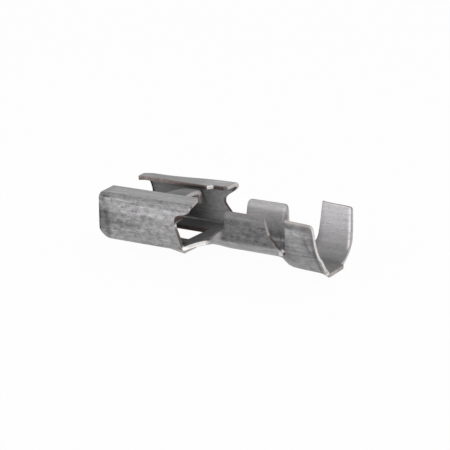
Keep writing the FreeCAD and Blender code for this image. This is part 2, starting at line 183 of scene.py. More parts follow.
mouth = {
    # (across, front edge) from the floor to the curls' inner edges
    "near": [(3.13, 0.84), (3.26, 0.72), (3.48, 0.45), (3.63, 0.15), (3.84, -0.04), (4.3, -0.06),
             (6.2, -0.05), (6.6, -0.01), (7.9, 0.04)],
    "far": [(3.13, 0.86), (3.62, 0.36), (4.30, 0.28), (5.40, 0.18), (6.10, -0.04), (6.60, -0.14),
            (7.5, -0.14), (7.9, -0.04)],
}
tongue = {
    "half": 1.20,
    "rootAt": 1.43,  # where the floor turns into the front fold
    "slit": 0.08,  # relief cut beside the root
    "foldRadius": 0.41,
    "rampAngle": math.radians(40),
    "softAngle": math.radians(16),
    "rampRun": 2.73,
    "easeRadius": 1.20,
    "softRun": 0.70,
    "flatRun": 0.95,
    "legRadius": 0.35,
    "legTurn": math.radians(75),
    "legFrom": 1.35,  # along the tongue, where the sides start to turn down
    "legFull": 2.90,
    "widenFrom": 1.15,  # the strip widens a little before that
    "widenFull": 2.60,
    "topHalf": 0.94,
    "leg": 0.62,
    "crown": 0.10,
    "rows": 74,
}
window = {"start": 1.75, "end": 6.19, "half": 1.43}
lance = {
    "half": 0.86,
    "rootRadius": 0.96,
    "angle": math.radians(19),
    "toeAngle": math.radians(10),
    "toeRadius": 0.76,
    "lower": 0.05,
    "toeRun": 1.00,
    "rows": 40,
}
notch = {
    # (height, rear edge) of each wall, from the floor to the shoulder
    "near": [(0.10, 6.95), (0.30, 6.92), (0.50, 6.84), (0.82, 6.72), (1.25, 6.56), (1.50, 6.45), (1.70, 6.37),
             (1.89, 6.33), (2.05, 6.33), (2.25, 6.34), (2.42, 6.38), (2.54, 6.48), (2.62, 6.68), (2.69, 6.97),
             (2.76, 7.22), (2.86, 7.36), (3.02, 7.44), (3.30, 7.50)],
    "far": [(0.10, 6.95), (0.40, 7.03), (0.80, 7.15), (1.05, 7.14), (1.31, 6.99), (1.65, 6.68), (1.93, 6.48),
            (2.15, 6.46), (2.35, 6.51), (2.55, 6.71), (2.75, 7.01), (2.95, 7.29), (3.15, 7.49), (3.36, 7.57)],
}
neck = {"half": 2.95, "from": 6.95}
cells = {"floor": [7, 4, 1, 2, 14, 2], "fold": 8, "wall": 34, "curl": 13, "along": [12, 3, 40, 8, 15]}


def boxSection(x, s):
    # across the blank from the middle line: floor, quarter turn, wall, curl turn, curl
    far = s > 0
    toRear = smooth(x, box["turnFrom"], box["rear"])
    farTurn = box["farTurnFront"] + (box["farTurnRear"] - box["farTurnFront"]) * toRear
    growth = box["farGrowthFront"] + (box["farGrowthRear"] - box["farGrowthFront"]) * toRear
    rounder = farRounder(x) * far
    curlTurn = np.where(far, farTurn, box["curlTurn"])
    radius = strip["sharpRadius"] + rounder
    wallRun = box["wallRun"] + growth * far - rounder
    steps = [
        (floorHalf, 0.0), (quarterTurn, math.pi / 2), (wallRun, 0.0),
        (radius * box["curlTurn"], curlTurn), (strip["openRun"], 0.0)]
    y, z = foldedLine(np.abs(s), 0.0, steps)
    down = np.clip(box["frontStripTop"] - z, 0, box["frontStripDeep"])
    pressed = box["frontStrip"] + box["frontStripSpread"] * down
    press = box["frontPress"] * np.clip(1 - x / pressed, 0, box["frontPressMost"])
    y = y - press * smooth(z, *box["wallPressed"])
    z = z - press * smooth(z, *box["curlPressed"]) * box["curlPress"]
    return np.stack([x, y * np.sign(s), z + halfSheet], axis=-1)


def farRounder(x):
    # how much larger the far shoulder's radius is, fading out to the rear
    return box["farRoundFront"] * (1 - smooth(x, *box["farRoundFades"]))


def heightOnWall(s):
    # the wall's foot plus the distance beyond it
    return wallFootHeight + np.clip(np.abs(s) - wallStart, -quarterTurn * box["foldCut"], None)


def rearEdge(s):
    # the notch on the walls, and the slanted rear ends of the curls with a round inner corner
    far = s > 0
    nearEdge, farEdge = (np.interp(heightOnWall(s), *np.array(notch[name]).T) for name in ("near", "far"))
    wall = np.where(far, farEdge, nearEdge)
    inner = curlEdge - (box["step"] - box["farCurlMore"]) * far
    fromInner = np.clip(inner - np.abs(s), 0, None)
    share = fromInner / (inner - curlStart)
    radius = np.where(far, box["curlCorner"]["far"], box["curlCorner"]["near"])
    corner = np.clip(1 - fromInner / radius, 0, 1)
    curl = box["rear"] + box["overhang"] * np.clip(share, 0, 1) - radius * (1 - np.sqrt(1 - corner ** 2))
    blend = smooth(np.abs(s), wallEnd + box["curlBlend"], curlStart)
    edge = wall * (1 - blend) + curl * blend
    return np.where(np.abs(s) <= neck["half"] + strip["slack"], neck["from"], edge)


def frontEdge(s):
    # straight runs between the mouth's points
    nearEdge, farEdge = (np.interp(np.abs(s), *np.array(mouth[name]).T) for name in ("near", "far"))
    return np.where(s > 0, farEdge, nearEdge)


def mirrored(half):
    return np.concatenate([-half[::-1], half[1:]])


def boxPatches():
    # rows run between the stops along the strip, columns between the folds and cuts across it
    slit = tongue["half"] + tongue["slit"]
    floorKnots = [0, lance["half"], tongue["half"], slit, window["half"], neck["half"], floorHalf]
    knots = floorKnots + [wallStart, wallEnd, curlStart, curlEdge]
    half = knotRows(knots, cells["floor"] + [cells["fold"], cells["wall"], cells["fold"], cells["curl"]])
    columns = mirrored(half)
    share = knotRows([0, 1, 2, 3, 4, 5], cells["along"])
    front, rear = frontEdge(columns), rearEdge(columns)
    # on the walls the last rows start further forward, to keep the cells even beside the notch
    outer, inner = box["evenFade"]
    onWall = smooth(np.abs(columns), wallStart - outer, wallStart + inner)
    onWall = onWall * (1 - smooth(np.abs(columns), wallEnd - inner, wallEnd + outer))
    stops = np.stack([
        front, np.full_like(front, tongue["rootAt"]), np.full_like(front, window["start"]),
        box["stepAt"] - box["evenRows"]["middle"] * onWall,
        window["end"] - box["evenRows"]["rear"] * onWall, rear])
    low = np.clip(share.astype(int), 0, 4)
    part = (share - low)[:, None]
    x = stops[low] * (1 - part) + stops[low + 1] * part
    s = np.broadcast_to(columns, x.shape).copy()
    # the far curl's inner edge steps back before the window's end, and gives way to the round shoulder
    stepBack = box["step"] * np.clip((x - box["stepAt"]) / (window["end"] - box["stepAt"]), 0, 1)
    onCurl = np.clip((s - curlStart) / box["curlRun"], 0, 1)
    s = s - (stepBack - box["farCurlMore"] + box["roundTakes"] * farRounder(x)) * onCurl
    # the tongue is cut out of the first stretch of rows, the window out of the third and fourth
    middleS = np.abs(columns[:-1] + columns[1:]) / 2
    middleRow = (share[:-1] + share[1:]) / 2
    inTongue = (middleS < slit) & (middleRow[:, None] < 1)
    inWindow = (middleS < window["half"]) & (middleRow[:, None] > 2) & (middleRow[:, None] < 4)
    grid = gridOf(boxSection(x, s))
    grid["keep"] = ~(inTongue | inWindow)
    return grid, columns


def middleColumns(half):
    # the box's columns up to a half width: the pieces that grow out of its floor share them
    return boxColumns[np.abs(boxColumns) <= half + strip["slack"]]


boxGrid, boxColumns = boxPatches()
trunkColumns = middleColumns(neck["half"])
print("box drawn", boxGrid["points"].shape)


# Spring tongue: the front fold, the ramp and the crown, with its sides turned down on the way
def tongueGrid():
    columns = middleColumns(tongue["half"])
    fold = math.pi - tongue["rampAngle"]
    ease = tongue["rampAngle"] - tongue["softAngle"]
    path = [
        (tongue["foldRadius"] * fold, -fold), (tongue["rampRun"], 0.0), (tongue["easeRadius"] * ease, -ease),
        (tongue["softRun"], 0.0), (tongue["easeRadius"] * tongue["softAngle"], -tongue["softAngle"]),
        (tongue["flatRun"], 0.0)]
    starts = np.cumsum([0] + [length for length, turn in path])
    gone = np.linspace(0, starts[-1], tongue["rows"])[:, None]
    x, z = foldedLine(gone, math.pi, path)
    heading = math.pi + sum(
        turn * np.clip(gone - start, 0, length) / length for (length, turn), start in zip(path, starts))
    down = smooth(gone, tongue["legFrom"], tongue["legFull"])
    turn = tongue["legTurn"] * down
    blankHalf = tongue["topHalf"] + tongue["legRadius"] * tongue["legTurn"] + tongue["leg"]
    wider = (blankHalf - tongue["half"]) * smooth(gone, tongue["widenFrom"], tongue["widenFull"])
    w = np.abs(columns)[None] * (tongue["half"] + wider) / tongue["half"]
    steps = [
        (tongue["topHalf"], 0.0), (tongue["legRadius"] * tongue["legTurn"], turn), (strip["openRun"], 0.0)]
    side, depth = foldedLine(w, 0.0, steps)
    depth = depth - tongue["crown"] * down * np.clip(1 - (side / tongue["half"]) ** 2, 0, None)
    side = side * np.sign(columns)[None]
    # the strip's upper normal is its heading turned a quarter to the left
    points = np.stack([
        tongue["rootAt"] + x + depth * np.sin(heading), side * np.ones_like(x),
        halfSheet + z - depth * np.cos(heading)], axis=-1)
    return gridOf(points[::-1])


# Locking lance: bent down from the window's front edge, with a flatter toe
def lanceGrid():
    columns = middleColumns(lance["half"])
    toeSlope = lance["angle"] - lance["toeAngle"]
    rootFall = lance["rootRadius"] * (1 - math.cos(lance["angle"]))
    toeFall = lance["toeRadius"] * (math.cos(toeSlope) - math.cos(lance["angle"]))
    toeFall = toeFall + lance["toeRun"] * math.sin(toeSlope)
    endFall = lanceDepth + lance["lower"] + halfSheet - halfSheet * math.cos(toeSlope)
    run = (endFall - rootFall - toeFall) / math.sin(lance["angle"])
    path = [
        (lance["rootRadius"] * lance["angle"], -lance["angle"]), (run, 0.0),
        (lance["toeRadius"] * lance["toeAngle"], lance["toeAngle"]), (lance["toeRun"], 0.0)]
    gone = np.linspace(0, sum(length for length, turn in path), lance["rows"])[:, None]
    x, z = foldedLine(gone, 0.0, path)
    across = np.broadcast_to(columns, (len(gone), len(columns)))
    return gridOf(np.stack([window["start"] + x + 0 * across, across, halfSheet + z + 0 * across], axis=-1))


# Neck, conductor barrel, step and insulation barrel: one section that changes along the strip.
# Each side is half the flat floor, a bend, a flank, a wide second bend and the rest of the wing.
sections = {
    "at": [6.95, 7.25, 7.62, 7.95, 8.45, 9.10, 9.60, 13.2, 13.5, 13.75, 14.0, 14.3, 15.0, 16.4, 16.9, 17.25],
    "near": {
        "flat": [1.1, 1.1, 1.0, 0.72, 0.76, 0.92, 1.0, 1.0, 0.98, 0.90, 0.80, 0.73, 0.70, 0.70, 0.84, 1.12],
        "radius": [2.4, 2.2, 1.6, 0.9, 0.62, 0.5, 0.48, 0.48, 0.48, 0.44, 0.4, 0.37, 0.35, 0.35, 0.35, 0.35],
        "turn": [0, 3, 9, 34, 66, 84, 85, 85, 81, 71, 60, 52, 49, 49, 49, 49],
        "flank": [0.5, 0.5, 0.5, 0.5, 0.5, 0.5, 0.5, 0.5, 0.55, 0.78, 1.02, 1.22, 1.3, 1.3, 1.3, 1.3],
        "moreTurn": [0, 0, 0, 0, 0, 0, 0, 0, 2, 9, 17, 23, 24, 24, 24, 24],
    },
    "far": {
        "flat": [1.1, 1.1, 1.0, 0.75, 0.90, 1.0, 1.0, 1.0, 0.98, 0.96, 0.94, 0.92, 0.92, 0.92, 0.92, 0.92],
        "radius": [2.4, 2.2, 1.6, 0.9, 0.62, 0.50, 0.48, 0.48, 0.55, 0.80, 1.25, 1.65, 1.9, 1.9, 1.9, 1.9],
        "turn": [0, 3, 9, 34, 64, 79, 80, 80, 79, 78, 78, 78.5, 80, 81, 81, 81],
        "flank": [0.5] * 16,
        "moreTurn": [0] * 16,
    },
    "wideRadius": 4.5,
    "dropAt": [7.2, 8.0, 13.2, 13.52, 13.73, 13.93, 14.12, 14.36, 14.7, 15.5, 16.5, 17.25],
    "drop": [0.0, -0.05, -0.04, 0.0, 0.11, 0.36, 0.55, 0.65, 0.69, 0.73, 0.78, 0.86],
}
trunk = {
    "conductorFront": 9.28,
    "conductorFoot": 13.34,
    "insulationFoot": 14.20,
    "insulationRear": 16.98,
    "tailHalf": {"near": 1.22, "far": 1.09},
    "tailEase": 1.4,  # the rim runs in to the tail's width over this length
    "widthAt": [6.95, 7.04, 7.14, 7.26, 7.40, 7.52, 7.62, 7.74, 7.88, 8.05, 8.37, 8.69, 9.01, 9.28, 11.0],
    "width": [2.95, 2.60, 2.28, 1.97, 1.66, 1.42, 1.28, 1.28, 1.44, 1.64, 1.92, 2.20, 2.37, 2.50, 2.44],
    "footAt": [13.34, 13.60, 13.80, 13.95, 14.10, 14.20],
    "footHeight": {"near": [0.86, 0.68, 0.48, 0.38, 0.44, 0.62], "far": [0.86, 0.62, 0.36, 0.16, 0.08, 0.14]},
    "tailMore": 0.08,
    "rows": {"neck": 44, "conductor": 76, "step": 18, "insulation": 34, "tail": 3},
    "searchFrom": 0.5,  # where the search for a height on the section starts, across the blank
    "searchSteps": 1701,
}
conductor = {
    "rear": {"near": 12.42, "far": 12.46},
    "wingRows": 31,
    "top": {"near": 2.89, "far": 2.97},
    "topAt": 11.0,  # place of the section on which the top's height is set
    "corner": 0.32,
    "tip": 0.14,
    "tipLength": 0.62,
    "rearEdge": {"near": [(13.20, 1.08), (12.97, 1.28), (12.72, 1.60), (12.60, 1.90), (12.51, 2.30)],
                 "far": [(13.10, 1.08), (12.84, 1.28), (12.66, 1.60), (12.57, 1.90), (12.51, 2.40)]},
    "grooves": 3,
    "grooveAt": 11.31,  # the middle one
    "pitch": 0.78,
    "grooveWidth": 0.22,
    "grooveDepth": 0.05,
    "grooveEase": 0.06,
    "grooveEnds": (0.70, 0.95),  # shares of the half width
}
insulation = {
    "wingRows": 33,
    "top": {"near": 3.19, "far": 3.12},
    "topAt": 15.6,
    "front": {"near": [(14.34, 1.0), (14.50, 1.6), (14.62, 2.4)],
              "far": [(14.38, 0.4), (14.48, 0.8), (14.52, 1.4), (14.54, 2.2)]},
    "frontTop": {"near": 14.64, "far": 14.55},
    "rear": {"near": 16.72, "far": 16.84},
    "rearEdge": {"near": [(16.84, 0.7), (16.79, 1.4), (16.76, 2.2)],
                 "far": [(17.03, 0.7), (16.99, 1.4), (16.92, 2.2)]},
    "rimThin": {"near": 0.34, "far": 0.0},  # share of the sheet that the coined rear rim loses
    "rimThinAlong": (16.2, 16.8),
    "rimThinAcross": (1.3, 1.7),
    "corner": 0.22,
}
sideNames = {-1: "near", 1: "far"}


def sideSteps(x, name):
    # one side's runs and bends, from smooth curves through the table's values
    table = sections[name]
    flat, radius, turn, flank, more = (throughKnots(x, sections["at"], table[key]) for key in
                                       ("flat", "radius", "turn", "flank", "moreTurn"))
    turn, more = np.radians(turn), np.radians(more)
    first = np.maximum(radius * turn, strip["leastRun"])
    second = np.maximum(sections["wideRadius"] * more, strip["leastRun"])
    return [(flat, 0.0), (first, turn), (flank, 0.0), (second, more), (strip["openRun"], 0.0)]


def trunkSection(x, s):
    # both sides folded up from the middle line, less the drop of the floor
    near = foldedLine(np.abs(s), 0.0, sideSteps(x, "near"))
    far = foldedLine(np.abs(s), 0.0, sideSteps(x, "far"))
    y, z = (np.where(s > 0, b, a) for a, b in zip(near, far))
    drop = throughKnots(x, sections["dropAt"], sections["drop"])
    return np.stack([x + 0 * y, y * np.sign(s), z + halfSheet - drop], axis=-1)


def acrossAt(x, height, side):
    # distance across the blank at which the section's side reaches a height
    reach = np.linspace(trunk["searchFrom"], strip["openRun"], trunk["searchSteps"])
    z = trunkSection(np.full_like(reach, x), reach * side)[:, 2]
    return float(np.interp(height, z, reach))


def acrossEach(edge, side):
    return [(place, acrossAt(place, height, side)) for place, height in edge]


def rimWidth(x, side):
    # half width of the strip where it has no wing
    heights = trunk["footHeight"][sideNames[side]]
    foot = [across for place, across in acrossEach(zip(trunk["footAt"], heights), side)]
    tailAt = [trunk["insulationRear"] - trunk["tailEase"], trunk["insulationRear"]]
    tail = trunk["tailHalf"][sideNames[side]] * neck["half"] / window["half"]
    places = trunk["widthAt"] + trunk["footAt"] + tailAt
    return throughKnots(x, places, trunk["width"] + foot + [foot[-1], tail])


def grooved(points, x, reach):
    # serrations: the sheet is thinner there, and its middle moves outward by half of that
    middles = conductor["grooveAt"] + conductor["pitch"] * (np.arange(conductor["grooves"]) - 1)
    away = np.abs(x[..., None] - middles).min(axis=-1)
    half, ease = conductor["grooveWidth"] / 2, conductor["grooveEase"]
    depth = conductor["grooveDepth"] * (1 - smooth(away, half - ease, half + ease))
    depth = depth * (1 - smooth(reach, *conductor["grooveEnds"]))
    normal = np.cross(np.gradient(points, axis=0), np.gradient(points, axis=1))
    normal = normal / np.linalg.norm(normal, axis=-1, keepdims=True)
    return gridOf(points - normal * depth[..., None] / 2, 1 - depth / strip["thickness"])


def trunkGrids():
    # the middle of the strip from the neck to the barrel's rear, the tail and the four wings
    counts = [trunk["rows"][name] for name in ("neck", "conductor", "step", "insulation")]
    knots = [neck["from"]] + [trunk[name] for name in
                              ("conductorFront", "conductorFoot", "insulationFoot", "insulationRear")]
    x = knotRows(knots, counts)
    starts = np.cumsum([0] + counts)
    byConductor, byInsulation = slice(starts[1], starts[2] + 1), slice(starts[3], None)
    rims = {side: rimWidth(x, side) for side in sideNames}
    rim = np.where(trunkColumns[None] > 0, rims[1][:, None], rims[-1][:, None])
    s = trunkColumns[None] * rim / neck["half"]
    xs = np.broadcast_to(x[:, None], s.shape)
    middle = grooved(trunkSection(xs, s), xs, np.abs(s) / rim)
    coined = smooth(xs, *insulation["rimThinAlong"]) * smooth(-s, *insulation["rimThinAcross"])
    middle["thin"] = middle["thin"] * (1 - insulation["rimThin"]["near"] * coined)
    # tail: the middle columns run on behind the barrel
    tailEnds = trunk["insulationRear"], partLength + trunk["tailMore"]
    tailX = np.linspace(*tailEnds, trunk["rows"]["tail"] + 1)[:, None]
    inTail = middleColumns(window["half"])
    tailHalf = np.where(inTail > 0, trunk["tailHalf"]["far"], trunk["tailHalf"]["near"])
    tailS = np.broadcast_to(inTail * tailHalf / window["half"], (len(tailX), len(inTail)))
    grids = [middle, gridOf(trunkSection(np.broadcast_to(tailX, tailS.shape), tailS))]
    for side, rim in rims.items():
        grids.append(conductorWing(x[byConductor], rim[byConductor], side))
        grids.append(insulationWing(x[byInsulation], rim[byInsulation], side))
    return grids


def wingGrid(x, rim, side, edges, rows, tip):
    # the wing's four edges are spread evenly, blended into a flat grid and folded
    bottom = np.stack([x, rim], axis=1)
    counts = (len(x), rows, rows)
    top, left, right = (alongPoints(np.concatenate(edge), count) for edge, count in zip(edges, counts))
    flatGrid = fourSided(bottom, top, left, right)
    points = trunkSection(flatGrid[..., 0], flatGrid[..., 1] * side)
    order = slice(None, None, side)  # turns the near wings' faces the same way
    return gridOf(points[:, order], tip(flatGrid[..., 0], flatGrid[..., 1])[:, order])


def conductorWing(x, rim, side):
    name = sideNames[side]
    front, rear, radius = trunk["conductorFront"], conductor["rear"][name], conductor["corner"]
    topS = acrossAt(conductor["topAt"], conductor["top"][name], side)
    # each corner's round is shared by the two edges that meet there
    frontTop, rearTop = (front, topS), (rear, topS)
    top = [eighthRound(frontTop, radius, (-1, 0), (0, 1))[::-1], eighthRound(rearTop, radius, (1, 0), (0, 1))]
    left = [[(front, rim[0])], eighthRound(frontTop, radius, (0, 1), (-1, 0))]
    slope = acrossEach(conductor["rearEdge"][name], side)
    right = [[(x[-1], rim[-1])], slope, eighthRound(rearTop, radius, (0, 1), (1, 0))]
    lost = 1 - conductor["tip"] / strip["thickness"]

    def tip(x, s):
        return 1 - lost * smooth(s, topS - conductor["tipLength"], topS)

    return wingGrid(x, rim, side, (top, left, right), conductor["wingRows"], tip)


def insulationWing(x, rim, side):
    name = sideNames[side]
    front, rear, radius = insulation["frontTop"][name], insulation["rear"][name], insulation["corner"]
    topS = acrossAt(insulation["topAt"], insulation["top"][name], side)
    rearTop = (rear, topS)
    leading = acrossEach(insulation["front"][name], side)
    trailing = acrossEach(insulation["rearEdge"][name], side)
    top = [[(front, topS)], eighthRound(rearTop, radius, (1, 0), (0, 1))]
    left = [[(x[0], rim[0])], leading, [(front, topS)]]
    right = [[(x[-1], rim[-1])], trailing, eighthRound(rearTop, radius, (0, 1), (1, 0))]

    def tip(x, s):
        return 1 - insulation["rimThin"][name] * smooth(x, *insulation["rimThinAlong"])

    return wingGrid(x, rim, side, (top, left, right), insulation["wingRows"], tip)


def weldGrids(grids):
    # each grid's quads come from its row and column numbers, and equal points become one
    points, quads, thin, start = [], [], [], 0
    for grid in grids:
        rows, columns = grid["points"].shape[:2]
        number = start + np.arange(rows * columns).reshape(rows, columns)
        quad = np.stack([number[:-1, :-1], number[1:, :-1], number[1:, 1:], number[:-1, 1:]], axis=-1)
        quads.append(quad.reshape(-1, 4) if grid["keep"] is None else quad[grid["keep"]])
        points.append(grid["points"].reshape(-1, 3))
        thin.append(grid["thin"].ravel())
        start += rows * columns
    points, quads, thin = np.concatenate(points), np.concatenate(quads), np.concatenate(thin)
    used, quads = np.unique(quads, return_inverse=True)
    points, thin, quads = points[used], thin[used], quads.reshape(-1, 4)
    rounded = np.round(points / strip["weldWithin"]).astype(np.int64)
    first, same = np.unique(rounded, axis=0, return_index=True, return_inverse=True)[1:]
    return points[first], same.ravel()[quads], thin[first]


def meshFrom(name, points, quads):
    mesh = bpy.data.meshes.new(name)
    mesh.vertices.add(len(points))
    mesh.vertices.foreach_set("co", (points * mm).astype(np.float32).ravel())
    mesh.loops.add(quads.size)
    mesh.loops.foreach_set("vertex_index", quads.astype(np.int32).ravel())
    mesh.polygons.add(len(quads))
    mesh.polygons.foreach_set("loop_start", np.arange(0, quads.size, quads.shape[1], dtype=np.int32))
    mesh.update(calc_edges=True)
    mesh.validate()
    mesh.shade_smooth()
    return placed(name, mesh)


def placed(name, data):
    piece = bpy.data.objects.new(name, data)
    bpy.context.scene.collection.objects.link(piece)
    return piece


def roundedRims(piece):
    bevel = piece.modifiers.new("rims", "BEVEL")
    bevel.width = strip["rimRound"] * mm
    bevel.segments = strip["rimSteps"]
    bevel.limit_method = "ANGLE"
    bevel.angle_limit = strip["rimAngle"]
    return bevel


# How light the sheet is painted, from the place on the middle of the sheet: partly its own finish, and partly
# painted light and shade. A mark adds its strength times the product of its own ranges and its area's. "out"
# is the distance from the middle line.
leansBy = {"x": "z", "y": "z", "z": "x"}


def above(axis, low, high, lean=0.0, start=0.0):
    # rises from 0 at low to 1 at high. Where it leans, both move by lean for each millimetre of the
    # other coordinate beyond start
    def share(place):
        return smooth(place[axis] - lean * (place[leansBy[axis]] - start), low, high)

    return share


def below(axis, low, high, lean=0.0, start=0.0):
    rising = above(axis, low, high, lean, start)
    return lambda place: 1 - rising(place)


def between(axis, low, high, soft):
    # up over twice the softness at low, and down again at high
    up, down = above(axis, low - soft, low + soft), below(axis, high - soft, high + soft)
    return lambda place: up(place) * down(place)


def about(axis, middle, width, lean=0.0, start=0.0):
    # e to the minus square of distance / width, from a line that may lean in the same way
    def share(place):
        away = place[axis] - middle - lean * (place[leansBy[axis]] - start)
        return np.exp(-(away / width) ** 2)

    return share


def less(axis, limit):
    return lambda place: place[axis] < limit


def more(axis, limit):
    return lambda place: place[axis] > limit


nearSide, farSide = less("y", 0), more("y", 0)
curls = above("z", 3.0, 3.2)
nearWall = [less("x", 7.5), less("y", -3.2)]
onTongue = [less("out", 1.7), more("z", 0.45), less("x", 5.75)]
inBox = below("x", 6.9, 7.3)
onConductor = between("x", 8.9, 13.3, 0.3)
onInsulation = above("x", 14.0, 14.8)
mouthStrip = below("x", 0.38, 0.82, lean=-0.14, start=3.2)
# a band of painted light on the upper near wall
paintedLightBand = between("z", 2.18, 2.90, 0.07)
# a band across the middle of the conductor wings, darker and more smudged than the rest
wingBand = between("z", 0.72, 2.34, 0.10)
farRearLine = [farSide, about("x", 16.94, 0.08, lean=-0.07), above("z", -0.1, 0.4)]

outerMarks = [
    # painted shade on the pressed strip at the mouth, less of it on the curls, with a painted shadow line
    # where the strip ends and painted shade along the front edge
    ([nearSide, above("z", 0.2, 0.6)], {
        "strip": (-0.36, mouthStrip),
        "stripShadeOnCurl": (0.162, mouthStrip, curls),
        "stripEndShadow": (-0.26, below("z", 2.5, 2.85), about("x", 0.54, 0.20, lean=-0.14, start=3.2)),
        "mouthEdgeShade": (-0.55, below("z", 2.5, 2.85), below("x", 0.02, 0.12)),
    }),
    # painted shade on the top of the near curl; the far curl is darker towards the mouth
    ([curls], {
        "nearCurlShade": (-0.10, nearSide),
        "farCurlFront": (-0.32, farSide, below("x", 4.6, 6.2)),
    }),
    # the near wall: a painted highlight along the shoulder's ridge line with painted shade above it, and
    # painted light and shade in bands and lines by height; the dark patch is partly the smudged area and
    # partly painted shade. The scuffs and scratches are wear, and the glint by the notch is painted
    (nearWall, {
        "ridgeHighlight": (0.24, about("z", 3.03, 0.04)),
        "ridgeHighlightFades": (-0.20, about("z", 3.03, 0.04), above("x", 1.5, 5.0)),
        "shoulder": (-0.14, above("z", 2.93, 3.0)),
        "paintedLightBand": (0.26, paintedLightBand),
        "paintedLightBandRear": (0.16, paintedLightBand, above("x", 3.5, 5.8)),
        "paintedLightBandFoot": (0.14, about("z", 2.35, 0.10), above("x", 1.4, 2.6)),
        "darkPatch": (-0.44, about("z", 1.36, 0.22), between("x", 0.5, 3.2, 0.9)),
        "darkLine": (-0.28, about("z", 2.04, 0.07), between("x", 0.9, 2.4, 0.5)),
        "darkLineLow": (-0.28, about("z", 0.85, 0.08), below("x", 2.8, 4.4)),
        "frontShade": (-0.20, between("z", 1.5, 2.35, 0.08), below("x", 1.2, 1.8)),
        "darkFoot": (-0.13, about("z", 0.6, 0.25), above("x", 2.4, 3.2)),
        "rearLight": (0.16, between("z", 1.6, 2.2, 0.1), above("x", 4.4, 5.8)),
        "lowScuff": (0.30, about("z", 1.0, 0.05, lean=0.09, start=2.8), between("x", 1.9, 3.8, 0.2)),
        "highScuff": (0.25, about("z", 2.34, 0.05, lean=0.10, start=4.6), between("x", 4.1, 5.2, 0.1)),
        "lobeGlint": (1.5, about("x", 6.33, 0.05), about("z", 1.84, 0.16)),
        "paleScratch": (0.7, about("z", 3.02, 0.05), between("x", 0.55, 0.95, 0.1)),
        "darkScratch": (-0.6, about("z", 3.14, 0.04), between("x", 0.3, 0.9, 0.1)),
        "uprightScratch": (-0.3, about("x", 3.35, 0.05), between("z", 0.9, 1.5, 0.1)),
    }),
    ([onConductor], {
        "wingBand": (-0.56, wingBand),
        "bandFoot": (-0.12, about("z", 0.80, 0.2)),
        "topBand": (-0.46, above("z", 2.24, 2.44)),
        "paleFoot": (0.15, below("z", 0.2, 0.5)),
    }),
    # the near insulation wing: painted shade along the crease at its foot and towards its rear edge, with
    # painted shade and light near the top; the rubs are wear
    ([nearSide, onInsulation], {
        "flank": (-0.12,),
        "creaseShade": (-0.42, about("z", 0.73, 0.05, lean=0.06, start=14.65)),
        "rub": (-0.34, about("x", 16.15, 0.12, lean=-0.25, start=1.7), between("z", 1.1, 2.3, 0.2)),
        "belowRub": (-0.22, about("z", 1.12, 0.2), above("x", 15.3, 15.8)),
        "rear": (-0.42, between("x", 16.5, 16.8, 0.08), below("z", 2.2, 2.8)),
        "topShade": (-0.30, between("z", 2.72, 3.05, 0.08)),
        "upperLight": (0.40, between("z", 2.35, 2.80, 0.12), below("x", 15.2, 16.2)),
    }),
    # painted shade over the front of the near insulation wing, and a painted highlight on the wedge at the
    # step
    ([nearSide], {
        "barrelFrontShade": (-0.62, about("x", 14.15, 0.50), between("z", 0.1, 1.9, 0.3)),
        "wedgeHighlight": (1.3, between("x", 13.50, 13.78, 0.06), between("z", 0.30, 0.60, 0.05)),
    }),
]
innerMarks = [
    # painted shade on the floor inside the box, and a spot of painted shade by the heel
    ([], {
        "boxFloorShade": (-0.33, inBox, below("z", 0.2, 0.44)),
        "heelShade": (-0.8, about("x", 6.40, 0.25), about("y", -2.62, 0.28), less("z", 0.4)),
        "neck": (-0.18, between("x", 7.0, 8.9, 0.2)),
        "farWingRear": (0.5, farSide, about("x", 12.22, 0.06), between("z", 1.6, 2.7, 0.1)),
    }),
    # the far wall inside the box: painted shade under the curl and towards the mouth, painted light towards
    # the open rear, the tongue's painted shadow on the wall and painted shade along the mouth's edge
    ([inBox, farSide, above("z", 0.3, 0.6)], {
        "softBand": (-0.10, about("z", 1.1, 0.4)),
        "rearLight": (1.05, above("x", 4.6, 6.2)),
        "frontShade": (-0.60, below("x", 3.6, 5.2)),
        "shadowUnderCurl": (-0.25, about("x", 3.0, 1.4), above("z", 2.5, 2.9)),
        "tongueShadow": (-0.45, about("x", 4.95, 0.12, lean=-0.45, start=1.6), above("z", 1.5, 1.8)),
        "mouthShade": (-0.8, about("x", 0.05, 0.12, lean=-0.25, start=2.7), between("z", 1.9, 3.0, 0.1)),
    }),
    # painted light on the far conductor wing's inside and painted shade in the channel between the wings
    ([onConductor], {
        "farWingLight": (0.25, farSide, above("z", 0.5, 1.2)),
        "channelShade": (-0.25, below("z", 0.3, 0.8)),
    }),
    # painted light on the insulation wings' insides, lighter towards their tops, and painted shade in the
    # channel
    ([onInsulation], {
        "litWings": (0.75, above("z", 0.3, 2.8)),
        "channelShade": (-0.30, below("z", -0.4, 0.4)),
        "farUpperLight": (0.26, farSide, about("z", 1.7, 0.5)),
        "farMiddleLight": (0.30, farSide, about("z", 1.15, 0.28)),
        "farFootShade": (-0.20, farSide, about("z", 0.25, 0.3)),
        "rearLine": (1.8, *farRearLine),
        "rearLineFades": (-0.9, *farRearLine, above("z", 1.4, 2.6)),
    }),
]
